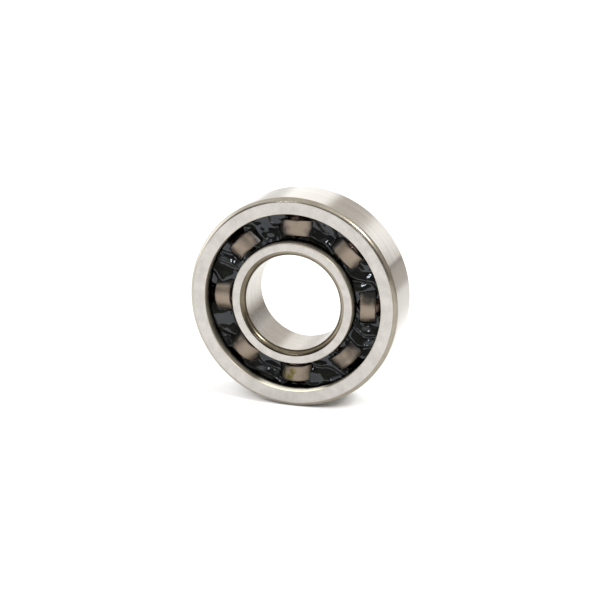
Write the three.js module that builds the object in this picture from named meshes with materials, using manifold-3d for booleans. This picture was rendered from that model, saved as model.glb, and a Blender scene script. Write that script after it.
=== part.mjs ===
// An open single-row deep-groove ball bearing, 10 x 22 x 6 mm (ISO 15 dimension series 19).
//
// Millimetres. The bearing's axis is Y and +Z is up, so the bearing stands on its rim. The front face looks
// along -Y. The origin is the centre of the bore at mid width.
//
// Pieces: two rings, eight balls, a cage of two pressed ribbons held together by eight rivets, and the grease
// in the eight gaps between the balls. Ball 1 is at the top, rivet 1 and grease 1 are in the gap just
// clockwise of it as seen from the front, and the numbers run clockwise.

import * as THREE from "three";
import { mergeVertices } from "three/addons/utils/BufferGeometryUtils.js";
import Module from "manifold-3d";

// ---- Driving dimensions ----------------------------------------------------------------------------------

const BORE_D = 10;
const OUTER_D = 22;
const WIDTH = 6;

const BALL_D = 3.5;
const BALL_COUNT = 8;
const PITCH_D = 15.5;
const GROOVE_CONFORMITY = 0.52; // groove radius over ball diameter
const RACE_PLAY = 0.03; // between each ball and each raceway

const INNER_LAND_R = 6.36; // shoulder beside the inner raceway
const OUTER_LAND_R = 9.3; // shoulder beside the outer raceway
const LAND_EDGE = 0.1; // edge break where a shoulder meets the face
const BORE_CORNER = { radial: 0.55, axial: 0.5 };
const RIM_CORNER = { radial: 0.45, axial: 0.45 };
const CORNER_BREAK = Math.PI / 12; // the angle at which a corner's curve meets the surfaces beside it

const SHEET = 0.3; // thickness of the cage's sheet metal
const RIBBON_WIDTH = 1.65; // radial width of the cage's ribbons
const POCKET_PLAY = 0.1; // between a ball and its pocket
const RIBBON_GAP = 0.02; // between the two ribbons where they meet

const RIVET_SHANK_R = 0.28;
const RIVET_HOLE_R = 0.34;
const RIVET_HEAD_R = 0.55;
const RIVET_HEAD_H = 0.24;
const RIVET_PLAY = 0.02; // under each rivet head

const GREASE_LEVEL = 1.5; // how far the grease stands out from the bearing's mid plane
const GREASE_PLAY = 0.06; // between the grease and every piece it lies against

// ---- Fineness of the curved surfaces ---------------------------------------------------------------------

const RING_SEGMENTS = 48; // a multiple of 8, so that the rings look the same at every ball
const CORNER_SEGMENTS = 2;
const GROOVE_SEGMENTS = 5;
const BALL_DETAIL = 3;
const POCKET_SEGMENTS = 10; // across a pocket, along the ribbon
const BRIDGE_SEGMENTS = 2; // across the flat between two pockets
const RIVET_SEGMENTS = 10;
const GREASE_DETAIL = 2;
const POCKET_SIDES = 32; // round the hollow that a pocket leaves in the grease

// ---- Worked out from the above ---------------------------------------------------------------------------

const HALF_WIDTH = WIDTH / 2;
const BORE_R = BORE_D / 2;
const RIM_R = OUTER_D / 2;
const BALL_R = BALL_D / 2;
const PITCH_R = PITCH_D / 2;
const GROOVE_R = GROOVE_CONFORMITY * BALL_D;
const STEP = (2 * Math.PI) / BALL_COUNT; // angle from one ball to the next
const RIBBON_INNER_R = PITCH_R - RIBBON_WIDTH / 2;
const RIBBON_OUTER_R = PITCH_R + RIBBON_WIDTH / 2;
const POCKET_INSIDE_R = BALL_R + POCKET_PLAY;
const POCKET_OUTSIDE_R = POCKET_INSIDE_R + SHEET;
const FLAT_NEAR = RIBBON_GAP / 2; // a ribbon's flat, measured from the mid plane
const FLAT_FAR = FLAT_NEAR + SHEET;

// ---- Materials -------------------------------------------------------------------------------------------

const steel = (color, roughness) => new THREE.MeshStandardMaterial({ color, roughness, metalness: 1 });
const ringSteel = steel(0xd6d0cb, 0.3);
const ballSteel = steel(0xc2b3a8, 0.08);
const cageSteel = steel(0xa89a8c, 0.35);
const rivetSteel = steel(0x8d8680, 0.4);
const blackGrease = new THREE.MeshStandardMaterial({ color: 0x0b0c0e, roughness: 0.12, metalness: 0 });

// ---- Solids: closed geometries to manifold-3d and back ----------------------------------------------------

const manifoldLibrary = await Module();
manifoldLibrary.setup();

function solidFrom(geometry) {
  const bare = new THREE.BufferGeometry().setAttribute("position", geometry.getAttribute("position").clone());
  if (geometry.index) bare.setIndex(geometry.index.clone());
  const merged = mergeVertices(bare, 1e-4);
  const mesh = new manifoldLibrary.Mesh({
    numProp: 3,
    vertProperties: merged.getAttribute("position").array,
    triVerts: new Uint32Array(merged.index.array),
  });
  return new manifoldLibrary.Manifold(mesh);
}

function geometryFrom(solid) {
  const mesh = solid.getMesh();
  const geometry = new THREE.BufferGeometry();
  geometry.setAttribute("position", new THREE.BufferAttribute(mesh.vertProperties, mesh.numProp));
  geometry.setIndex(new THREE.BufferAttribute(mesh.triVerts, 1));
  geometry.computeVertexNormals();
  return geometry;
}

const joined = (geometries) => geometries.map(solidFrom).reduce((all, next) => all.add(next));

// ---- Shapes and places that several pieces share ----------------------------------------------------------

// Points on an ellipse's arc in the (radius, axial) plane, both ends included.
function arc(centreR, centreY, radiusR, radiusY, from, to, segments) {
  return Array.from({ length: segments + 1 }, (_, i) => {
    const angle = from + ((to - from) * i) / segments;
    return new THREE.Vector2(centreR + radiusR * Math.cos(angle), centreY + radiusY * Math.sin(angle));
  });
}

// A closed outline in the (radius, axial) plane turned about Y. The middles of the facets, and not their
// edges, lie on the true circles, and one of them faces each of X and Z, so that a ring stands on a flat.
function turned(outline) {
  const facetReach = 1 / Math.cos(Math.PI / RING_SEGMENTS);
  const points = [...outline, outline[0]].map(({ x, y }) => new THREE.Vector2(x * facetReach, y));
  return new THREE.LatheGeometry(points, RING_SEGMENTS, Math.PI / RING_SEGMENTS);
}

function annulus(innerR, outerR, halfHeight) {
  return turned([
    new THREE.Vector2(innerR, -halfHeight),
    new THREE.Vector2(outerR, -halfHeight),
    new THREE.Vector2(outerR, halfHeight),
    new THREE.Vector2(innerR, halfHeight),
  ]);
}

// A place on the pitch circle, so many ball steps clockwise from the top as seen from the front.
const pitchPlace = (steps) => new THREE.Vector3().setFromCylindricalCoords(PITCH_R, steps * STEP, 0);
const ballPlaces = Array.from({ length: BALL_COUNT }, (_, i) => pitchPlace(i));
const gapPlaces = Array.from({ length: BALL_COUNT }, (_, i) => pitchPlace(i + 0.5));

function sphereAt(place, radius, detail) {
  return new THREE.IcosahedronGeometry(radius, detail).translate(...place.toArray());
}

function cylinderAt(place, radius, halfHeight) {
  const cylinder = new THREE.CylinderGeometry(radius, radius, 2 * halfHeight, RIVET_SEGMENTS);
  return cylinder.translate(...place.toArray());
}

// A cylinder about the radial line through a place.
function radialCylinder(place, radius, halfLength) {
  const cylinder = new THREE.CylinderGeometry(radius, radius, 2 * halfLength, POCKET_SIDES);
  const outward = place.clone().normalize();
  const turn = new THREE.Quaternion().setFromUnitVectors(new THREE.Vector3(0, 1, 0), outward);
  return cylinder.applyQuaternion(turn).translate(...place.toArray());
}

// ---- Rings ------------------------------------------------------------------------------------------------

// Half the angle of a raceway groove's arc, for a groove cut `depth` deep below its shoulder.
const grooveHalfAngle = (depth) => Math.acos((GROOVE_R - depth) / GROOVE_R);

// The corner between a ring's face and its bore or rim, from the face on. `outward` is 1 at a rim and -1 at a
// bore, and `side` is -1 at the front and 1 at the rear. Its ends are edges, as grinding leaves them.
function corner(matingR, { radial, axial }, outward, side) {
  const span = Math.cos(CORNER_BREAK) - Math.sin(CORNER_BREAK);
  const [reachR, reachY] = [(outward * radial) / span, (side * axial) / span];
  const centreR = matingR - reachR * Math.cos(CORNER_BREAK);
  const centreY = side * HALF_WIDTH - reachY * Math.cos(CORNER_BREAK);
  return arc(centreR, centreY, reachR, reachY, Math.PI / 2 - CORNER_BREAK, CORNER_BREAK, CORNER_SEGMENTS);
}

function outerRing() {
  const bottomR = PITCH_R + BALL_R + RACE_PLAY;
  const half = grooveHalfAngle(bottomR - OUTER_LAND_R);
  return turned([
    new THREE.Vector2(OUTER_LAND_R + LAND_EDGE, -HALF_WIDTH),
    ...corner(RIM_R, RIM_CORNER, 1, -1),
    ...corner(RIM_R, RIM_CORNER, 1, 1).toReversed(),
    new THREE.Vector2(OUTER_LAND_R + LAND_EDGE, HALF_WIDTH),
    new THREE.Vector2(OUTER_LAND_R, HALF_WIDTH - LAND_EDGE),
    ...arc(bottomR - GROOVE_R, 0, GROOVE_R, GROOVE_R, half, -half, GROOVE_SEGMENTS),
    new THREE.Vector2(OUTER_LAND_R, LAND_EDGE - HALF_WIDTH),
  ]);
}

function innerRing() {
  const bottomR = PITCH_R - BALL_R - RACE_PLAY;
  const half = grooveHalfAngle(INNER_LAND_R - bottomR);
  return turned([
    new THREE.Vector2(INNER_LAND_R - LAND_EDGE, HALF_WIDTH),
    ...corner(BORE_R, BORE_CORNER, -1, 1),
    ...corner(BORE_R, BORE_CORNER, -1, -1).toReversed(),
    new THREE.Vector2(INNER_LAND_R - LAND_EDGE, -HALF_WIDTH),
    new THREE.Vector2(INNER_LAND_R, LAND_EDGE - HALF_WIDTH),
    ...arc(bottomR + GROOVE_R, 0, GROOVE_R, GROOVE_R, Math.PI + half, Math.PI - half, GROOVE_SEGMENTS),
    new THREE.Vector2(INNER_LAND_R, HALF_WIDTH - LAND_EDGE),
  ]);
}

// ---- Cage -------------------------------------------------------------------------------------------------

// Where a point of the pressed sheet lies. `step` counts the mesh's columns round the ribbon from the middle
// of the first pocket. Across a pocket the sheet follows a cylinder about the radial line through the ball's
// centre, from the bridge on one side to the bridge on the other, and between pockets it is flat.
function pressedPoint(step, radius, flatLevel, pocketR) {
  const columns = POCKET_SEGMENTS + BRIDGE_SEGMENTS;
  const ball = Math.round(step / columns);
  const fromBall = step - ball * columns;
  const side = Math.sign(fromBall);
  const edgeAngle = Math.asin(Math.sqrt(pocketR ** 2 - flatLevel ** 2) / radius);
  const acrossPocket = Math.min(1, Math.abs(fromBall) / (POCKET_SEGMENTS / 2));
  const acrossBridge = Math.max(0, Math.abs(fromBall) - POCKET_SEGMENTS / 2) / BRIDGE_SEGMENTS;
  const pocketAngle = edgeAngle * Math.sin((acrossPocket * Math.PI) / 2);
  const angle = pocketAngle + acrossBridge * (STEP - 2 * edgeAngle);
  const offLine = radius * Math.sin(pocketAngle);
  const height = acrossPocket < 1 ? Math.sqrt(pocketR ** 2 - offLine ** 2) : flatLevel;
  return new THREE.Vector3().setFromCylindricalCoords(radius, ball * STEP + side * angle, height);
}

// The rear ribbon: a flat ring pressed into eight pockets, less its rivet holes.
function rearRibbon() {
  const radii = [RIBBON_INNER_R, PITCH_R, RIBBON_OUTER_R];
  const outline = [
    ...radii.map((radius) => new THREE.Vector2(radius, FLAT_NEAR)),
    ...radii.toReversed().map((radius) => new THREE.Vector2(radius, FLAT_FAR)),
  ];
  const columns = BALL_COUNT * (POCKET_SEGMENTS + BRIDGE_SEGMENTS);
  const ribbon = new THREE.LatheGeometry([...outline, outline[0]], columns);
  const points = ribbon.getAttribute("position");
  for (let i = 0; i < points.count; i += 1) {
    const column = Math.floor(i / (outline.length + 1)) % columns;
    const { x: radius, y: flatLevel } = outline[i % (outline.length + 1) % outline.length];
    const pocketR = flatLevel === FLAT_NEAR ? POCKET_INSIDE_R : POCKET_OUTSIDE_R;
    points.setXYZ(i, ...pressedPoint(column, radius, flatLevel, pocketR).toArray());
  }
  const holes = joined(gapPlaces.map((place) => cylinderAt(place, RIVET_HOLE_R, WIDTH)));
  return solidFrom(ribbon).subtract(holes);
}

// A rivet about its own centre: a shank through both ribbons and a low rounded head on each side.
function rivet() {
  const seat = FLAT_FAR + RIVET_PLAY;
  const crown = (side, from, to) =>
    arc(0, side * seat, RIVET_HEAD_R, RIVET_HEAD_H, from, to, CORNER_SEGMENTS);
  const outline = [
    ...crown(-1, -Math.PI / 2, 0),
    new THREE.Vector2(RIVET_SHANK_R, -seat),
    new THREE.Vector2(RIVET_SHANK_R, seat),
    ...crown(1, 0, Math.PI / 2),
  ];
  outline.at(0).x = 0;
  outline.at(-1).x = 0;
  return new THREE.LatheGeometry(outline, RIVET_SEGMENTS);
}

// ---- Grease -----------------------------------------------------------------------------------------------

// What the grease keeps clear of: the balls, the ribbons and the rivets, each larger than it is.
function greaseKeepOut() {
  const ribbonBand = (halfHeight) =>
    annulus(RIBBON_INNER_R - GREASE_PLAY, RIBBON_OUTER_R + GREASE_PLAY, halfHeight);
  const pocketR = POCKET_OUTSIDE_R + GREASE_PLAY;
  const balls = ballPlaces.map((place) => sphereAt(place, pocketR, GREASE_DETAIL));
  const pockets = ballPlaces.map((place) => radialCylinder(place, pocketR, RIM_R - PITCH_R));
  const headHalfHeight = FLAT_FAR + RIVET_PLAY + RIVET_HEAD_H;
  const heads = gapPlaces.map((place) =>
    cylinderAt(place, RIVET_HEAD_R + GREASE_PLAY, headHalfHeight + GREASE_PLAY),
  );
  const ribbons = joined(pockets).intersect(solidFrom(ribbonBand(WIDTH)));
  return joined([ribbonBand(FLAT_FAR + GREASE_PLAY), ...balls, ...heads]).add(ribbons);
}

// The grease of all the gaps, in the order of `gapPlaces`: a ring as high as the grease stands, less
// everything that it surrounds. The balls' pockets cut it into one pool for each gap.
function greasePools() {
  const ring = annulus(INNER_LAND_R + GREASE_PLAY, OUTER_LAND_R - GREASE_PLAY, GREASE_LEVEL);
  const pools = solidFrom(ring).subtract(greaseKeepOut()).decompose();
  const largest = Math.max(...pools.map((pool) => pool.volume()));
  const whole = pools.filter((pool) => pool.volume() > largest / 2);
  const offset = (pool, place) => {
    const { min, max } = pool.boundingBox();
    return Math.hypot((min[0] + max[0]) / 2 - place.x, (min[2] + max[2]) / 2 - place.z);
  };
  return gapPlaces.map((place) =>
    whole.reduce((best, pool) => (offset(pool, place) < offset(best, place) ? pool : best)),
  );
}

// ---- The bearing ------------------------------------------------------------------------------------------

function piece(name, geometry, material, place = new THREE.Vector3()) {
  const mesh = new THREE.Mesh(geometry, material);
  mesh.name = name;
  mesh.position.copy(place);
  return mesh;
}

const bearing = new THREE.Group();
const cage = new THREE.Group();
const ribbon = rearRibbon();

bearing.add(piece("outer_ring", outerRing(), ringSteel));
bearing.add(piece("inner_ring", innerRing(), ringSteel));
cage.add(piece("cage_front", geometryFrom(ribbon.mirror([0, 1, 0])), cageSteel));
cage.add(piece("cage_rear", geometryFrom(ribbon), cageSteel));

ballPlaces.forEach((place, i) => {
  cage.add(piece(`ball_${i + 1}`, new THREE.IcosahedronGeometry(BALL_R, BALL_DETAIL), ballSteel, place));
});
gapPlaces.forEach((place, i) => {
  cage.add(piece(`rivet_${i + 1}`, rivet(), rivetSteel, place));
});
greasePools().forEach((pool, i) => {
  cage.add(piece(`grease_${i + 1}`, geometryFrom(pool), blackGrease));
});

bearing.add(cage);

export default bearing;
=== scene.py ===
import math

import bmesh
import bpy
import numpy as np
from mathutils import Matrix, Vector, noise


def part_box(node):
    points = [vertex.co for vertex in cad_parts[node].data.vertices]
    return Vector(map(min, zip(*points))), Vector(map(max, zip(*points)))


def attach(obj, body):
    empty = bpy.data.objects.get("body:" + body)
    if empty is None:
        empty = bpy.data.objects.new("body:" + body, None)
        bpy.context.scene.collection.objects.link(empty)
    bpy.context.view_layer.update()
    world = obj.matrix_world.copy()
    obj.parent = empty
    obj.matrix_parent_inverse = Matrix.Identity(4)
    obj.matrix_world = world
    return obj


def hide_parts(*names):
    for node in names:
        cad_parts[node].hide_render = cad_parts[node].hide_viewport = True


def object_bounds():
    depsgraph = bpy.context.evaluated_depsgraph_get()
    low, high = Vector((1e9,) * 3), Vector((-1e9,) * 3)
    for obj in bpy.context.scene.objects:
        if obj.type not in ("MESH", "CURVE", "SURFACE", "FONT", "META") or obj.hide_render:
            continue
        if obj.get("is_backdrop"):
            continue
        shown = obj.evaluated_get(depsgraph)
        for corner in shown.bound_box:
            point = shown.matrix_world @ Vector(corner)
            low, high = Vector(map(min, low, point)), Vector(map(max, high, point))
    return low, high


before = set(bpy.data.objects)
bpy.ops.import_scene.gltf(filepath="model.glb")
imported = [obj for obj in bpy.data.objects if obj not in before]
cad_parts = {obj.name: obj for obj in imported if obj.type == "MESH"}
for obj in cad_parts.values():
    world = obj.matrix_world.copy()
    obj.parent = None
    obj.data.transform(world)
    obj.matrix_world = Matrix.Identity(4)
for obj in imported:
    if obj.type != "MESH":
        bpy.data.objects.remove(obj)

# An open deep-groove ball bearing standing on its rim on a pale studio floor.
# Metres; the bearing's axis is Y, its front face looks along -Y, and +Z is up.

cad_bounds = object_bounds()

# ---- Sizes -------------------------------------------------------------------------------------------------

MM = 0.001
BALLS = 8
STEP = 2 * math.pi / BALLS  # angle from one ball to the next

outer_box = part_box("outer_ring")
inner_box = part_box("inner_ring")
ball_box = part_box("ball_1")
ribbon_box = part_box("cage_rear")
rivet_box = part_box("rivet_2")

RIM_R = outer_box[1].z
HALF_WIDTH = outer_box[1].y
BALL_R = (ball_box[1].z - ball_box[0].z) / 2
PITCH_R = (ball_box[1].z + ball_box[0].z) / 2
INNER_LAND_R = inner_box[1].z

# Sizes of the rings that no node's box gives.
OUTER_LAND_R = 9.3 * MM
BORE_R = 5 * MM
GROOVE_R = 0.52 * 2 * BALL_R
RACE_PLAY = 0.03 * MM  # between a ball and each raceway
RIM_CORNER = (0.45 * MM, 0.45 * MM)  # radial and axial
BORE_CORNER = (0.55 * MM, 0.50 * MM)
CORNER_BREAK = math.radians(15)  # the angle at which a corner's curve meets the surfaces beside it
CORNER_EDGE = 0.12 * MM  # rounding where a corner meets the surfaces beside it
LAND_EDGE = 0.12 * MM  # rounding between a side face and a land
GROOVE_EDGE = 0.04 * MM  # rounding between a land and its groove

SHEET = 0.3 * MM
SHEET_EDGE = 0.07 * MM
RIBBON_HALF_WIDTH = ribbon_box[1].z - PITCH_R
POCKET_R = ribbon_box[1].y - SHEET / 2  # to the middle of the sheet
FLAT_Y = ribbon_box[0].y + SHEET / 2  # middle of the sheet between two pockets
RIVET_HEAD_R = 0.55 * MM
RIVET_SHANK_R = 0.28 * MM
RIVET_TOP_Y = rivet_box[1].y
RIVET_PLAY = 0.02 * MM  # under a head

GREASE_LEVEL = 1.5 * MM  # mean height over the mid plane, on both sides
GREASE_PLAY = 0.03 * MM  # round every other piece

# ---- Mesh making -------------------------------------------------------------------------------------------


MERGE_DISTANCE = 1e-8


def new_object(name, data):
    made = bpy.data.objects.new(name, data)
    bpy.context.scene.collection.objects.link(made)
    return made


def new_piece(name, points, faces, zones=None):
    """A smooth-shaded mesh object. zones gives each face's material index."""
    mesh = bpy.data.meshes.new(name)
    mesh.from_pydata(points, [], faces)
    if zones is not None:
        mesh.polygons.foreach_set("material_index", zones)
    work = bmesh.new()
    work.from_mesh(mesh)
    bmesh.ops.remove_doubles(work, verts=work.verts, dist=MERGE_DISTANCE)
    bmesh.ops.recalc_face_normals(work, faces=work.faces)
    work.to_mesh(mesh)
    work.free()
    mesh.shade_smooth()
    return new_object(name, mesh)


def around(radius, angle, y):
    """A point at that radius and angle, clockwise from the top as seen from the front."""
    return (radius * math.sin(angle), y, radius * math.cos(angle))


def fillet(before, corner, after, radius, steps=8, hold=0.03 * MM):
    """Points that round one corner of an outline, and one more on each side to hold the flats flat."""
    before, corner, after = Vector(before), Vector(corner), Vector(after)
    back, on = (before - corner).normalized(), (after - corner).normalized()
    half = back.angle(on) / 2
    reach = radius / math.tan(half)
    centre = corner + (back + on).normalized() * radius / math.sin(half)
    first = (corner + back * reach - centre).normalized()
    last = (corner + on * reach - centre).normalized()
    rounded = [centre + first.slerp(last, i / steps) * radius for i in range(steps + 1)]
    return [corner + back * (reach + hold), *rounded, corner + on * (reach + hold)]


def outline(corners):
    """A closed outline from (radius, axial, rounding) corners; a corner with no rounding stays one point."""
    points = []
    for i, (r, y, rounding) in enumerate(corners):
        if rounding:
            previous, following = corners[i - 1][:2], corners[(i + 1) % len(corners)][:2]
            points += fillet(previous, (r, y), following, rounding)
        else:
            points.append(Vector((r, y)))
    return points


def turned(name, points, segments, zone=lambda r, y: 0, closed=True):
    """An outline turned about the bearing's axis. zone gives the material index at a radius and width."""
    ring = [around(p.x, 2 * math.pi * i / segments, p.y) for i in range(segments) for p in points]
    count = len(points)
    spans = count if closed else count - 1
    faces, zones = [], []
    for i in range(segments):
        here, there = i * count, (i + 1) % segments * count
        for j in range(spans):
            k = (j + 1) % count
            faces.append((here + j, here + k, there + k, there + j))
            middle = (points[j] + points[k]) / 2
            zones.append(zone(middle.x, middle.y))
    return new_piece(name, ring, faces, zones)


def corner(mating_r, size, outward, side, steps=7):
    """The corner between a ring's face and its bore or rim, from the face on, as outline corners."""
    span = math.cos(CORNER_BREAK) - math.sin(CORNER_BREAK)
    reach_r, reach_y = outward * size[0] / span, side * size[1] / span
    centre_r = mating_r - reach_r * math.cos(CORNER_BREAK)
    centre_y = side * HALF_WIDTH - reach_y * math.cos(CORNER_BREAK)
    angles = np.linspace(math.pi / 2 - CORNER_BREAK, CORNER_BREAK, steps + 1)
    roundings = [CORNER_EDGE] + [0] * (steps - 1) + [CORNER_EDGE]
    return [
        (centre_r + reach_r * math.cos(a), centre_y + reach_y * math.sin(a), rounding)
        for a, rounding in zip(angles, roundings)
    ]


def groove(bottom_r, land_r, steps=28):
    """A raceway's arc, from the front land to the rear one. Both ends lie on the land."""
    outward = 1 if bottom_r > land_r else -1
    centre_r = bottom_r - outward * GROOVE_R
    half = math.acos((land_r - centre_r) * outward / GROOVE_R)
    angles = [half * (2 * i / steps - 1) for i in range(steps + 1)]
    return [(centre_r + outward * GROOVE_R * math.cos(a), GROOVE_R * math.sin(a)) for a in angles]


# ---- Node trees --------------------------------------------------------------------------------------------


def add(tree, kind, inputs=None, **settings):
    """Adds a shader node. Each input is a value or another node's output."""
    node = tree.nodes.new("ShaderNode" + kind)
    for name, value in settings.items():
        setattr(node, name, value)
    for name, value in (inputs or {}).items():
        if isinstance(value, bpy.types.NodeSocket):
            tree.links.new(value, node.inputs[name])
        else:
            node.inputs[name].default_value = value
    return node


def maths(tree, operation, a, b=0.0):
    return add(tree, "Math", {0: a, 1: b}, operation=operation).outputs[0]


def plus(tree, a, b):
    return maths(tree, "ADD", a, b)


def times(tree, a, b):
    return maths(tree, "MULTIPLY", a, b)


def along(tree, vector, direction):
    """How far a vector reaches along a direction."""
    inputs = {0: vector, 1: direction}
    return add(tree, "VectorMath", inputs, operation="DOT_PRODUCT").outputs["Value"]


def ramp(tree, value, low, high, to_low=0.0, to_high=1.0):
    """value taken smoothly from low..high to to_low..to_high."""
    inputs = {"Value": value, "From Min": low, "From Max": high, "To Min": to_low, "To Max": to_high}
    return add(tree, "MapRange", inputs, interpolation_type="SMOOTHSTEP").outputs[0]


def mix(tree, factor, a, b):
    """Colour a where factor is 0, and b where it is 1. A colour is three numbers or another node's output."""
    a, b = ((*colour, 1) if isinstance(colour, tuple) else colour for colour in (a, b))
    return add(tree, "Mix", {0: factor, 6: a, 7: b}, data_type="RGBA").outputs[2]


def grain(tree, vector, size, detail, roughness=0.6):
    """Noise from 0 to 1 whose coarsest marks are about as large as size."""
    inputs = {"Vector": vector, "Scale": 1 / size, "Detail": detail, "Roughness": roughness}
    return add(tree, "TexNoise", inputs).outputs["Fac"]


def place(tree):
    """The point on the piece, in the bearing's own coordinates at rest."""
    return add(tree, "TexCoord").outputs["Object"]


def split(tree, vector):
    """A vector's x, y and z."""
    return add(tree, "SeparateXYZ", {0: vector}).outputs


def from_axis(tree, point):
    """The vector to a point from the place nearest to it on the bearing's axis, and its length."""
    x, _, z = split(tree, point)
    flat = add(tree, "CombineXYZ", {0: x, 2: z}).outputs[0]
    return flat, add(tree, "VectorMath", {0: flat}, operation="LENGTH").outputs["Value"]


def round_lay(tree, pitch, stretch=0.35):
    """Coordinates for marks that run round the axis, pitch millimetres apart, long where stretch is low."""
    point = place(tree)
    flat, radius = from_axis(tree, point)
    outwards = add(tree, "VectorMath", {0: flat}, operation="NORMALIZE").outputs[0]
    round_axis = add(tree, "VectorMath", {0: outwards, "Scale": stretch}, operation="SCALE").outputs[0]
    lift = times(tree, plus(tree, split(tree, point)[1], radius), 1 / (pitch * MM))
    across = add(tree, "CombineXYZ", {1: lift}).outputs[0]
    return add(tree, "VectorMath", {0: round_axis, 1: across}).outputs[0]


def material(name, base, roughness, metallic=0.0, **settings):
    """A Principled material and its tree. Settings go straight onto the shader's own sockets."""
    made = bpy.data.materials.new(name)
    made.use_nodes = True
    shader = made.node_tree.nodes["Principled BSDF"]
    shader.inputs["Base Color"].default_value = (*base, 1)
    shader.inputs["Roughness"].default_value = roughness
    shader.inputs["Metallic"].default_value = metallic
    for socket, value in settings.items():
        shader.inputs[socket.replace("_", " ")].default_value = value
    return made, made.node_tree, shader


def connect(tree, shader, colour=None, roughness=None, height=None, depth=1e-6):
    """Links what varies over the surface to the shader. depth is the relief's height in metres."""
    if colour is not None:
        tree.links.new(colour, shader.inputs["Base Color"])
    if roughness is not None:
        tree.links.new(roughness, shader.inputs["Roughness"])
    if height is not None:
        relief = add(tree, "Bump", {"Height": height, "Distance": depth, "Strength": 1.0})
        tree.links.new(relief.outputs[0], shader.inputs["Normal"])


# ---- Materials ---------------------------------------------------------------------------------------------


def ground_round(tree, shader):
    """Draws highlights out across lines that run round the axis."""
    shader.inputs["Anisotropic"].default_value = 0.6
    shader.inputs["Anisotropic Rotation"].default_value = 0.25  # a quarter turn from the tangent
    tangent = add(tree, "Tangent", direction_type="RADIAL", axis="Y")
    tree.links.new(tangent.outputs[0], shader.inputs["Tangent"])


def ground_face_steel():
    """The rings' flat side faces: lapped, with a fine even grain."""
    made, tree, shader = material("ground_face_steel", (0.43, 0.41, 0.385), 0.34, metallic=1.0)
    point = place(tree)
    coarse = grain(tree, point, 0.9 * MM, 3)
    fine = grain(tree, point, 0.12 * MM, 3, 0.7)
    scratches = grain(tree, round_lay(tree, 0.05, 6.0), 1.0, 2)
    tone = plus(tree, times(tree, coarse, 0.5), times(tree, fine, 0.5))
    colour = mix(tree, ramp(tree, tone, 0.3, 0.7), (0.395, 0.374, 0.352), (0.525, 0.501, 0.471))
    relief = plus(tree, fine, times(tree, scratches, 0.4))
    connect(tree, shader, colour, ramp(tree, fine, 0.2, 0.8, 0.27, 0.40), relief, 2.5e-6)
    return made


def ground_round_steel(name, dark, light, smoothest, roughest):
    """The rim and the bore: ground round the axis, so a highlight is drawn out across the grinding lines."""
    made, tree, shader = material(name, light, 0.2, metallic=1.0)
    ground_round(tree, shader)
    lines = grain(tree, round_lay(tree, 0.05), 1.0, 3)
    bands = grain(tree, round_lay(tree, 0.6, 1.5), 1.0, 2, 0.5)
    tone = plus(tree, times(tree, lines, 0.5), times(tree, bands, 0.5))
    colour = mix(tree, ramp(tree, tone, 0.3, 0.7), dark, light)
    connect(tree, shader, colour, ramp(tree, lines, 0.25, 0.75, smoothest, roughest), lines, 0.8e-6)
    return made


def turned_corner_steel(name, dark, light, clean_and_lit, towards, start, end):
    """Rounded corners: turned before hardening and never ground, so duller and browner than the faces.

    Between start and end along the direction towards, the stained steel gives way to one lighter colour: a
    painted reflection.
    """
    made, tree, shader = material(name, light, 0.25, metallic=1.0)
    lines = grain(tree, round_lay(tree, 0.06), 1.0, 3)
    point = place(tree)
    cloud = grain(tree, point, 1.4 * MM, 3)
    tone = plus(tree, times(tree, cloud, 0.6), times(tree, lines, 0.4))
    stained = mix(tree, ramp(tree, tone, 0.35, 0.65), dark, light)
    # Painted reflection: the corner turns lighter along the direction towards.
    colour = mix(tree, ramp(tree, along(tree, point, towards), start, end), stained, clean_and_lit)
    connect(tree, shader, colour, ramp(tree, lines, 0.25, 0.75, 0.18, 0.32), lines, 1.0e-6)
    return made


def raceway_steel():
    """Raceways and lands: black with grease and painted dark reflection towards the middle, with a painted
    highlight at the bottom.
    """
    made, tree, shader = material("raceway_steel", (0.60, 0.55, 0.44), 0.45, metallic=1.0)
    ground_round(tree, shader)
    lines = grain(tree, round_lay(tree, 0.04), 1.0, 2)
    point = place(tree)
    _, axial, z = split(tree, point)
    uneven = times(tree, grain(tree, point, 1.6 * MM, 2), 0.7 * MM)
    off_middle = plus(tree, maths(tree, "ABSOLUTE", axial), uneven)
    # Black towards the middle: grease film and a painted dark reflection of the grease.
    clean_and_lit = ramp(tree, off_middle, 1.80 * MM, 3.10 * MM)
    colour = mix(tree, clean_and_lit, (0.032, 0.027, 0.020), (0.46, 0.42, 0.34))
    # Painted highlight: pale and less metallic along the bottom of the ring.
    lowest = ramp(tree, z, -9.0 * MM, -8.3 * MM, 1, 0)
    bottom_highlight = times(tree, lowest, ramp(tree, off_middle, 2.2 * MM, 2.9 * MM))
    colour = mix(tree, bottom_highlight, colour, (0.90, 0.86, 0.70))
    connect(tree, shader, colour, ramp(tree, clean_and_lit, 0, 1, 0.20, 0.46), lines, 4e-7)
    tree.links.new(ramp(tree, bottom_highlight, 0, 1, 1.0, 0.2), shader.inputs["Metallic"])
    return made


def ball_steel():
    """Polished balls under smears of dirty grease."""
    bare = (0.24, 0.18, 0.18)
    made, tree, shader = material("ball_steel", bare, 0.08, metallic=1.0)
    point = place(tree)
    smear = ramp(tree, grain(tree, point, 1.2 * MM, 3), 0.36, 0.56)
    streaks = grain(tree, point, 0.15 * MM, 2)
    colour = mix(tree, smear, bare, (0.030, 0.024, 0.022))
    rough = plus(tree, ramp(tree, smear, 0, 1, 0.10, 0.30), times(tree, streaks, 0.06))
    connect(tree, shader, colour, rough, smear, 2e-6)
    return made


def stain(tree, point, steps, axial, size):
    """How strongly a stain shows, round a place on the cage's front. steps counts balls from the top."""
    centre = around(PITCH_R, steps * STEP, -axial)
    off = add(tree, "VectorMath", {0: point, 1: centre}, operation="DISTANCE").outputs["Value"]
    return ramp(tree, off, 0.4 * size, size, 1, 0)


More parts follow.
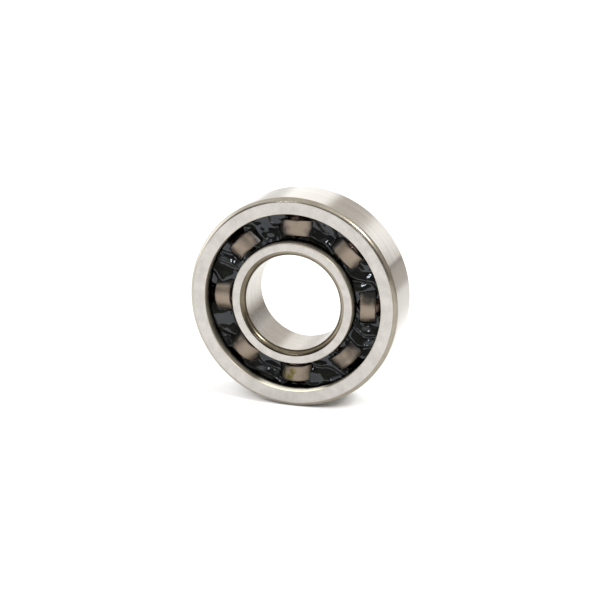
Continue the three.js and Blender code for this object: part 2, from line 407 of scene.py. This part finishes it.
def ungreased_and_lit(tree, point):
    """How bare and lit the cage is: 1 on the pockets' backs, 0 where grease covers their sides and edges and
    painted shade darkens them.

    Sides that face up and to the left are darker: painted shade. The ribbon's inner and outer edges go dark,
    partly from grease and partly from painted shade under the rings. The pockets at the upper left and the
    lower right are darker too.
    """
    cloud = times(tree, grain(tree, point, 1.5 * MM, 1), 1.1 * MM)
    fringe = times(tree, grain(tree, point, 0.5 * MM, 1), 0.2 * MM)
    facing = add(tree, "TexCoord").outputs["Normal"]
    # Painted shade: sides that face up and to the left come out darker.
    facing_shade = times(tree, along(tree, facing, (0.707, 0, -0.707)), 0.45 * MM)
    x, axial, z = split(tree, point)
    # Darker on the pockets at the upper left and the lower right.
    diagonal = times(tree, times(tree, x, z), 2 / PITCH_R**2)
    uneven = plus(tree, plus(tree, plus(tree, cloud, fringe), facing_shade), times(tree, diagonal, 0.06 * MM))
    height = plus(tree, maths(tree, "ABSOLUTE", axial), uneven)
    # Grease and painted shade: the ribbon's inner and outer edges go dark.
    aside = maths(tree, "ABSOLUTE", maths(tree, "SUBTRACT", from_axis(tree, point)[1], PITCH_R))
    inside = maths(tree, "SUBTRACT", times(tree, uneven, 0.4), aside)
    return times(tree, ramp(tree, height, 2.10 * MM, 2.80 * MM), ramp(tree, inside, -0.68 * MM, -0.28 * MM))


def cage_steel():
    """Pressed sheet: satin on the pockets' backs, with grease and painted shade on their sides and edges, and
    two oily stains.
    """
    base = (0.30, 0.25, 0.20)
    made, tree, shader = material("cage_steel", base, 0.42, metallic=1.0, Specular_IOR_Level=0.15)
    point = place(tree)
    rolled = grain(tree, round_lay(tree, 0.07, 2.5), 1.0, 3, 0.65)
    steel = mix(tree, rolled, (0.215, 0.172, 0.135), (0.285, 0.237, 0.190))
    low_stain = stain(tree, point, 4.1, 2.1 * MM, 1.1 * MM)
    side_stain = stain(tree, point, 1.85, 2.0 * MM, 0.8 * MM)
    curls = ramp(tree, grain(tree, point, 0.6 * MM, 1), 0.42, 0.58)
    oily = times(tree, maths(tree, "MAXIMUM", low_stain, side_stain), curls)
    steel = mix(tree, oily, steel, (0.13, 0.11, 0.035))
    unstained = maths(tree, "SUBTRACT", 1.0, times(tree, side_stain, 0.75))
    # Grease, and painted shade on the pockets' sides and edges.
    clean_and_lit = times(tree, ungreased_and_lit(tree, point), unstained)
    colour = mix(tree, clean_and_lit, (0.008, 0.007, 0.006), steel)
    connect(tree, shader, colour, ramp(tree, clean_and_lit, 0, 1, 0.20, 0.44), rolled, 1.5e-6)
    tree.links.new(ramp(tree, clean_and_lit, 0, 1), shader.inputs["Metallic"])
    return made


def rivet_steel():
    """Set rivets: dented by the punch, and oily."""
    made, tree, shader = material("rivet_steel", (0.42, 0.37, 0.33), 0.25, metallic=1.0)
    dents = grain(tree, place(tree), 0.22 * MM, 3)
    colour = mix(tree, ramp(tree, dents, 0.3, 0.7), (0.24, 0.21, 0.18), (0.50, 0.45, 0.40))
    connect(tree, shader, colour, ramp(tree, dents, 0.2, 0.8, 0.16, 0.36), dents, 1.2e-5)
    return made


def black_grease():
    """Wet black grease: smooth, with faint ripples, and a cold tint to what it reflects."""
    tint = (0.84, 0.91, 1.0, 1)
    made, tree, shader = material("black_grease", (0.003, 0.003, 0.003), 0.06, IOR=1.5, Specular_Tint=tint)
    point = place(tree)
    ripples = grain(tree, point, 0.6 * MM, 1)
    tone = ramp(tree, grain(tree, point, 1.0 * MM, 2), 0.4, 0.7)
    colour = mix(tree, tone, (0.007, 0.007, 0.006), (0.012, 0.012, 0.009))
    connect(tree, shader, colour, ramp(tree, ripples, 0.3, 0.7, 0.04, 0.09), ripples, 6e-6)
    return made


def floor_paper():
    """White paper, with painted shade: greyer behind the bearing's right side, and grey a way off."""
    made, tree, shader = material("floor_paper", (0.79, 0.79, 0.79), 0.6, Specular_IOR_Level=0.2)
    point = place(tree)
    x, y, _ = split(tree, point)
    fibres = grain(tree, point, 0.6 * MM, 3)
    paper = mix(tree, fibres, (0.785, 0.785, 0.785), (0.80, 0.80, 0.80))
    # Painted shade: greyer behind the bearing's right side.
    near = times(tree, ramp(tree, x, 8 * MM, 20 * MM), ramp(tree, y, 6 * MM, 26 * MM))
    paper = mix(tree, near, paper, (0.56, 0.56, 0.555))
    slanting = plus(tree, x, times(tree, y, 0.105))
    # Painted shade: grey a way off, behind and to the right.
    far = times(tree, ramp(tree, slanting, 33 * MM, 45 * MM), ramp(tree, y, 42 * MM, 75 * MM))
    connect(tree, shader, mix(tree, far, paper, (0.32, 0.30, 0.28)))
    return made


# ---- Rings -------------------------------------------------------------------------------------------------

RING_SEGMENTS = 288
FACE, ROUND, CORNER, RACE = range(4)
NEARLY = 0.008 * MM  # how near a surface a facet's middle lies to count as on it


def ring_zone(mating_r, size):
    """Which finish a ring's surface has. mating_r is its bore's or rim's radius, and size its corner's."""

    def zone(r, y):
        if abs(y) > HALF_WIDTH - NEARLY:
            return FACE
        if abs(r - mating_r) < NEARLY:
            return ROUND
        return CORNER if abs(r - mating_r) < size[0] + NEARLY else RACE

    return zone


def ring(name, mating_r, size, land_r, raceway_r, round_finish, corner_finish):
    """A ring turned from its section. mating_r is its bore's or rim's radius, and size its corner's."""
    outward = 1 if mating_r > land_r else -1
    race = groove(raceway_r, land_r)
    corners = [
        *corner(mating_r, size, outward, -1),
        *reversed(corner(mating_r, size, outward, 1)),
        (land_r, HALF_WIDTH, LAND_EDGE),
        (*race[-1], GROOVE_EDGE),
        *[(r, y, 0) for r, y in race[-2:0:-1]],
        (*race[0], GROOVE_EDGE),
        (land_r, -HALF_WIDTH, LAND_EDGE),
    ]
    piece = turned(name, outline(corners), RING_SEGMENTS, ring_zone(mating_r, size))
    for finish in (ground_face, round_finish, corner_finish, raceway):
        piece.data.materials.append(finish)
    return piece


ground_face = ground_face_steel()
raceway = raceway_steel()
rim = ground_round_steel("rim_steel", (0.45, 0.42, 0.39), (0.53, 0.505, 0.47), 0.09, 0.16)
bore = ground_round_steel("bore_steel", (0.41, 0.38, 0.345), (0.48, 0.45, 0.415), 0.22, 0.30)
# The rim's corner is lighter towards the left: a painted reflection of the bright room on that side.
rim_corner = turned_corner_steel(
    "rim_corner_steel",
    dark=(0.225, 0.20, 0.158),
    light=(0.30, 0.272, 0.225),
    clean_and_lit=(0.37, 0.345, 0.30),
    towards=(-1, 0, 0),
    start=-1 * MM,
    end=9 * MM,
)
# The bore's corner is lighter towards the upper right: a painted reflection.
bore_corner = turned_corner_steel(
    "bore_corner_steel",
    dark=(0.095, 0.078, 0.053),
    light=(0.155, 0.133, 0.094),
    clean_and_lit=(0.24, 0.208, 0.16),
    towards=(0.707, 0, 0.707),
    start=1 * MM,
    end=4 * MM,
)

outer_bottom = PITCH_R + BALL_R + RACE_PLAY
inner_bottom = PITCH_R - BALL_R - RACE_PLAY
outer_ring = ring("outer_ring_fine", RIM_R, RIM_CORNER, OUTER_LAND_R, outer_bottom, rim, rim_corner)
inner_ring = ring("inner_ring_fine", BORE_R, BORE_CORNER, INNER_LAND_R, inner_bottom, bore, bore_corner)

for piece, node in ((outer_ring, "outer_ring"), (inner_ring, "inner_ring")):
    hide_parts(node)
    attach(piece, node)

# ---- Balls -------------------------------------------------------------------------------------------------


BALL_CUTS = 19  # across each of the cube's faces


def ball(name, centre):
    """A cube's faces cut fine and blown up to a sphere, so that no poles show."""
    work = bmesh.new()
    bmesh.ops.create_cube(work, size=2)
    bmesh.ops.subdivide_edges(work, edges=work.edges, cuts=BALL_CUTS, use_grid_fill=True)
    for vert in work.verts:
        even = Vector([math.tan(c * math.pi / 4) for c in vert.co])
        vert.co = centre + even.normalized() * BALL_R
    mesh = bpy.data.meshes.new(name)
    work.to_mesh(mesh)
    work.free()
    mesh.shade_smooth()
    return new_object(name, mesh)


polished = ball_steel()
for i in range(BALLS):
    node = f"ball_{i + 1}"
    piece = ball(f"{node}_fine", Vector(around(PITCH_R, i * STEP, 0)))
    piece.data.materials.append(polished)
    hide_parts(node)
    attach(piece, node)

# ---- Cage --------------------------------------------------------------------------------------------------

RIBBON_STEPS_PER_BALL = 60
FLOW = 0.22 * MM  # how far the bend between a pocket and the flat is eased


def sheet_height(x, z):
    """Height of the middle of the pressed sheet over the mid plane, off the radial line through a ball."""
    turn = round(math.atan2(x, z) / STEP) * STEP
    off = abs(x * math.cos(turn) - z * math.sin(turn))
    dome = math.sqrt(max(POCKET_R**2 - off**2, 0)) if off < POCKET_R else POCKET_R - off
    blend = max(FLOW - abs(dome - FLAT_Y), 0) / FLOW
    return max(dome, FLAT_Y) + blend * blend * FLOW / 4


def sheet_normal(x, z):
    """The direction that the pressed sheet faces."""
    tiny = 0.01 * MM
    slope_x = (sheet_height(x + tiny, z) - sheet_height(x - tiny, z)) / (2 * tiny)
    slope_z = (sheet_height(x, z + tiny) - sheet_height(x, z - tiny)) / (2 * tiny)
    return Vector((-slope_x, 1, -slope_z)).normalized()


def ribbon_section():
    """The sheet's section as (across, through), with more points on its wide sides, which bend."""
    signs = ((-1, -1), (1, -1), (1, 1), (-1, 1))
    corners = [(i * RIBBON_HALF_WIDTH, j * SHEET / 2) for i, j in signs]
    points = []
    for i, here in enumerate(corners):
        following = corners[(i + 1) % 4]
        points += fillet(corners[i - 1], here, following, SHEET_EDGE, steps=4, hold=0.02 * MM)
        if i % 2 == 0:
            points += [Vector(here).lerp(Vector(following), t) for t in (0.25, 0.4, 0.6, 0.75)]
    return points


def ribbon(name, side):
    """One half of the cage: the sheet's section carried round the axis. side is -1 in front and 1 behind."""
    section = ribbon_section()
    count = len(section)
    columns = BALLS * RIBBON_STEPS_PER_BALL
    points, faces = [], []
    for i in range(columns):
        angle = 2 * math.pi * i / columns
        for across, through in section:
            x, _, z = around(PITCH_R + across, angle, 0)
            foot = Vector((x, sheet_height(x, z), z)) + sheet_normal(x, z) * through
            points.append((foot.x, side * foot.y, foot.z))
            j = len(points) - 1 - i * count
            k, on = (j + 1) % count, (i + 1) % columns
            faces.append((i * count + j, i * count + k, on * count + k, on * count + j))
    return new_piece(name, points, faces)


pressed = cage_steel()
for node, side in (("cage_front", -1), ("cage_rear", 1)):
    piece = ribbon(f"{node}_fine", side)
    piece.data.materials.append(pressed)
    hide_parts(node)
    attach(piece, "cage")

# ---- Rivets ------------------------------------------------------------------------------------------------


def rivet(name, centre):
    """A shank with a low round head on each side."""
    seat = FLAT_Y + SHEET / 2 + RIVET_PLAY
    edge = 0.03 * MM
    crown_end = 1.35  # radians from the crown's top, a little short of the head's widest place
    slants = np.linspace(0, crown_end, 10)
    crown = [(RIVET_HEAD_R * math.sin(a), seat + (RIVET_TOP_Y - seat) * math.cos(a)) for a in slants]
    head_edge = [(RIVET_HEAD_R, seat + edge), (RIVET_HEAD_R - edge, seat)]
    upper = [Vector(p) for p in [*crown, *head_edge, (RIVET_SHANK_R, seat)]]
    lower = [Vector((p.x, -p.y)) for p in reversed(upper)]
    piece = turned(name, upper + lower, segments=40, closed=False)
    piece.data.transform(Matrix.Translation(centre))
    return piece


punched = rivet_steel()
for i in range(BALLS):
    node = f"rivet_{i + 1}"
    piece = rivet(f"{node}_fine", Vector(around(PITCH_R, (i + 0.5) * STEP, 0)))
    piece.data.materials.append(punched)
    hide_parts(node)
    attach(piece, "cage")

# ---- Grease ------------------------------------------------------------------------------------------------

GREASE_CELL = 0.07 * MM
GREASE_INNER_R = INNER_LAND_R + GREASE_PLAY
GREASE_OUTER_R = OUTER_LAND_R - GREASE_PLAY
GREASE_MARGIN = 3 * GREASE_CELL  # empty grid left round a pool
GREASE_REACH = 2.4 * MM  # the grid's height over the mid plane
FOLD_HEIGHT = 0.17 * MM
FOLD_PITCH = 1.9  # millimetres from one fold to the next
FOLD_TILT = 0.35
FOLD_SLOPE = 0.74  # the share of a fold that is its long upper slope
CREEP_HEIGHT = 0.12 * MM  # how far grease is pulled up at a wall, and over what width
CREEP_WIDTH = 0.20 * MM
END_GAP = 0.35 * MM  # from a pool's end to the radial line through the next ball, on the pitch circle
END_EASE = 0.50 * MM  # rounding between a pool's surface and its ends, and then its walls, balls and pockets
WALL_EASE = 0.12 * MM
BALL_EASE = 0.05 * MM
POCKET_EASE = 0.06 * MM
noise.seed_set(5)  # vector noise takes its offsets from the clock otherwise


def surface_net(field, points):
    """A closed mesh of quads where field, given at a grid's points, goes from negative inside to positive."""
    inside = field < 0
    cells = tuple(n - 1 for n in field.shape)
    total = np.zeros((*cells, 3))
    count = np.zeros(cells)
    crossings = []
    for axis in range(3):
        low = tuple(slice(None, -1) if a == axis else slice(1, -1) for a in range(3))
        high = tuple(slice(1, None) if a == axis else slice(1, -1) for a in range(3))
        here, there = field[low], field[high]
        crosses = inside[low] != inside[high]
        share = np.where(crosses, here / np.where(crosses, here - there, 1), 0)[..., None]
        crossing = points[low] * (1 - share) + points[high] * share
        first, second = [a for a in range(3) if a != axis]
        for i in (0, 1):
            for j in (0, 1):
                cell = [slice(None)] * 3
                cell[first] = slice(i, cells[first] - 1 + i)
                cell[second] = slice(j, cells[second] - 1 + j)
                total[tuple(cell)] += np.where(crosses[..., None], crossing, 0)
                count[tuple(cell)] += crosses
        crossings.append((axis, first, second, np.argwhere(crosses), inside[low][crosses]))
    used = count > 0
    number = np.full(cells, -1)
    number[used] = np.arange(used.sum())
    faces = []
    for axis, first, second, cell, starts_inside in crossings:
        around_edge = []
        for i, j in ((0, 0), (1, 0), (1, 1), (0, 1)):
            neighbour = cell.copy()
            neighbour[:, first] += i
            neighbour[:, second] += j
            around_edge.append(number[tuple(neighbour.T)])
        quads = np.stack(around_edge, 1)
        flip = starts_inside ^ (axis == 1)
        quads[~flip] = quads[~flip][:, ::-1]
        faces.append(quads)
    return total[used] / count[used][:, None], np.concatenate(faces)


def soft_max(a, b, ease):
    """The larger of two fields, with the edge where they cross rounded by about ease."""
    blend = np.clip(ease - np.abs(a - b), 0, None) / ease
    return np.maximum(a, b) + blend * blend * ease / 4


def folds(x, z, seed):
    """Height of the grease's folds, about -1 to 1: they sag, so each is long above and short underneath."""
    spot = Vector((x / MM, z / MM, 3.7 * seed))
    drift = noise.noise_vector(spot * 0.45)
    climb = spot.y / FOLD_PITCH + FOLD_TILT * spot.x / FOLD_PITCH + 0.9 * drift.x + 0.23 * seed
    share = climb % 1.0
    if share < FOLD_SLOPE:
        fold = 1 - 2 * share / FOLD_SLOPE
    else:
        fold = 2 * (share - FOLD_SLOPE) / (1 - FOLD_SLOPE) - 1
    swell = noise.noise(spot * 0.6 + drift)
    ripple = noise.noise(spot * 1.5 - drift)
    return fold + 0.9 * swell + 0.2 * ripple


def grease_level(radii, angles, middle, number):
    """Height of a pool's front and rear surfaces over the mid plane, at each radius and angle."""
    level = np.zeros((len(radii), len(angles), 2))
    for i, radius in enumerate(radii):
        for j, angle in enumerate(angles):
            x, _, z = around(radius, middle + angle, 0)
            for side in (0, 1):
                level[i, j, side] = folds(x, z, number + 20 * side)
    wall = np.minimum(radii - GREASE_INNER_R, GREASE_OUTER_R - radii)
    creep = CREEP_HEIGHT * np.exp(-np.clip(wall, 0, None) / CREEP_WIDTH)
    return GREASE_LEVEL + FOLD_HEIGHT * level + creep[:, None, None]


def keep_off_pocket(field, x, y, z, off_pitch, angle):
    """Cuts the ball and the pockets at that angle out of a field."""
    bx, _, bz = around(PITCH_R, angle, 0)
    off = np.sqrt((x - bx) ** 2 + y**2 + (z - bz) ** 2)
    field = soft_max(field, BALL_R + GREASE_PLAY - off, BALL_EASE)
    across = x * math.cos(angle) - z * math.sin(angle)
    sheet = np.abs(np.hypot(across, y) - POCKET_R) - SHEET / 2
    dome = np.maximum(sheet, off_pitch - RIBBON_HALF_WIDTH)
    return soft_max(field, GREASE_PLAY - dome, POCKET_EASE)


def keep_off_flats(field, x, y, z, off_pitch, middle):
    """Cuts the ribbons' flats and the rivet out of a field."""
    flat = np.maximum(np.abs(y) - FLAT_Y - SHEET / 2, off_pitch - RIBBON_HALF_WIDTH)
    field = np.maximum(field, GREASE_PLAY - flat)
    cx, _, cz = around(PITCH_R, middle, 0)
    head = np.hypot(x - cx, z - cz) - RIVET_HEAD_R
    return np.maximum(field, GREASE_PLAY - np.maximum(head, np.abs(y) - RIVET_TOP_Y))


def grease_pool(name, number):
    """The grease of one gap: as high as the level, pulled up at the walls, and clear of every other piece."""
    middle = (number - 0.5) * STEP
    radii = np.arange(GREASE_INNER_R - GREASE_MARGIN, GREASE_OUTER_R + GREASE_MARGIN, GREASE_CELL)
    half_angle = STEP / 2 + GREASE_MARGIN / PITCH_R
    angles = np.arange(-half_angle, half_angle, GREASE_CELL / PITCH_R)
    heights = np.arange(-GREASE_REACH, GREASE_REACH, GREASE_CELL)
    r, a, y = np.meshgrid(radii, angles, heights, indexing="ij")
    x, z = r * np.sin(middle + a), r * np.cos(middle + a)
    off_pitch = np.abs(r - PITCH_R)

    level = grease_level(radii, angles, middle, number)
    field = np.where(y < 0, -y - level[:, :, :1], y - level[:, :, 1:])
    walls = np.maximum(GREASE_INNER_R - r, r - GREASE_OUTER_R)
    field = soft_max(field, walls, WALL_EASE)
    ends = np.abs(a) * r - (STEP / 2 * PITCH_R - END_GAP)
    field = soft_max(field, ends, END_EASE)
    for side in (-0.5, 0.5):
        field = keep_off_pocket(field, x, y, z, off_pitch, middle + side * STEP)
    field = keep_off_flats(field, x, y, z, off_pitch, middle)

    verts, faces = surface_net(field, np.stack([x, y, z], -1))
    piece = new_piece(name, verts.tolist(), faces.tolist())
    ease = piece.modifiers.new("ease", "SMOOTH")
    ease.iterations = 4
    ease.factor = 0.5
    return piece


wet_black = black_grease()
for i in range(BALLS):
    node = f"grease_{i + 1}"
    piece = grease_pool(f"{node}_fine", i + 1)
    piece.data.materials.append(wet_black)
    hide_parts(node)
    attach(piece, "cage")

# ---- Studio ------------------------------------------------------------------------------------------------


FLOOR_HALF_SIZE = 2.5


def floor():
    """The plane that the rim stands on."""
    work = bmesh.new()
    bmesh.ops.create_grid(work, x_segments=1, y_segments=1, size=FLOOR_HALF_SIZE)
    mesh = bpy.data.meshes.new("floor")
    work.to_mesh(mesh)
    work.free()
    made = new_object("floor", mesh)
    made.location.z = outer_box[0].z
    mesh.materials.append(floor_paper())
    made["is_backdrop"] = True


def direction(azimuth, elevation):
    """A unit vector. Azimuth 0 is straight in front of the bearing and 90 degrees is to its right."""
    az, el = math.radians(azimuth), math.radians(elevation)
    return Vector((math.sin(az) * math.cos(el), -math.cos(az) * math.cos(el), math.sin(el)))


LIGHT_DISTANCE = 1.0


def soft_box(name, azimuth, elevation, width, height, radiance, mirrored=True):
    """An area light facing the bearing. One that isn't mirrored doesn't show in metal or grease."""
    lamp = bpy.data.lights.new(name, "AREA")
    lamp.shape = "RECTANGLE"
    lamp.size, lamp.size_y = width, height
    lamp.energy = radiance * math.pi * width * height
    towards = direction(azimuth, elevation)
    made = new_object(name, lamp)
    made.location = towards * LIGHT_DISTANCE
    made.rotation_euler = towards.to_track_quat("Z", "Y").to_euler()
    made.visible_camera = False
    made.visible_glossy = mirrored


def studio_world():
    """A bright ceiling and left wall, a white backdrop low behind, and a dim room in front."""
    world = bpy.data.worlds.new("studio")
    world.use_nodes = True
    bpy.context.scene.world = world
    tree = world.node_tree
    x, y, z = split(tree, add(tree, "TexCoord").outputs["Generated"])
    behind = ramp(tree, y, 0.5, 0.8)

    room = mix(tree, ramp(tree, y, -0.62, -0.42), (0.07, 0.07, 0.08), (0.72, 0.68, 0.62))
    left_wall = ramp(tree, x, -0.91, -0.74, 1, 0)
    room = mix(tree, left_wall, room, (2.7, 2.7, 2.7))
    right_corner = times(tree, ramp(tree, x, 0.35, 0.385), behind)
    room = mix(tree, right_corner, room, (0.24, 0.225, 0.205))
    low = times(tree, ramp(tree, z, 0.25, 0.30, 1, 0), ramp(tree, x, 0.34, 0.37, 1, 0))
    backdrop = maths(tree, "MAXIMUM", low, ramp(tree, x, -0.12, -0.02, 1, 0))
    backdrop = times(tree, backdrop, ramp(tree, y, 0.2, 0.5))
    room = mix(tree, backdrop, room, (1.6, 1.6, 1.57))
    low_left = times(tree, ramp(tree, x, -0.36, -0.30, 1, 0), ramp(tree, z, 0.16, 0.26, 1, 0))
    room = mix(tree, times(tree, low_left, behind), room, (1.0, 0.98, 0.95))
    ceiling = ramp(tree, z, 0.45, 0.70)
    room = mix(tree, ceiling, room, (1.45, 1.45, 1.43))
    tree.links.new(room, tree.nodes["Background"].inputs["Color"])


CAMERA_AZIMUTH = 17.16
CAMERA_ELEVATION = 16.79
CAMERA_DISTANCE = 160.3 * MM
CAMERA_DROP = 0.4 * MM  # the camera points this far below the bearing's centre
LENS = 93.4


def camera():
    """In front of the bearing, above it and to its right."""
    back = direction(CAMERA_AZIMUTH, CAMERA_ELEVATION)
    right = direction(CAMERA_AZIMUTH + 90, 0)
    made = new_object("camera", bpy.data.cameras.new("camera"))
    made.location = back * CAMERA_DISTANCE - back.cross(right) * CAMERA_DROP
    made.rotation_euler = back.to_track_quat("Z", "Y").to_euler()
    made.data.lens = LENS
    made.data.clip_start = 10 * MM
    bpy.context.scene.camera = made


floor()
soft_box("key_box", 58, 46, 0.26, 0.26, 24)
soft_box("fill_box", -20, 45, 0.75, 0.30, 5.5, mirrored=False)
soft_box("side_box", 95, 50, 0.30, 0.30, 10, mirrored=False)
soft_box("front_left_box", -22, 30, 0.10, 0.06, 24)
soft_box("front_right_box", 18, 20, 0.10, 0.06, 24)
studio_world()
camera()
bpy.context.scene.view_settings.view_transform = "Standard"

boxes = {"cad": cad_bounds, "visual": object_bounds()}
{name: [list(corner) for corner in box] for name, box in boxes.items()}
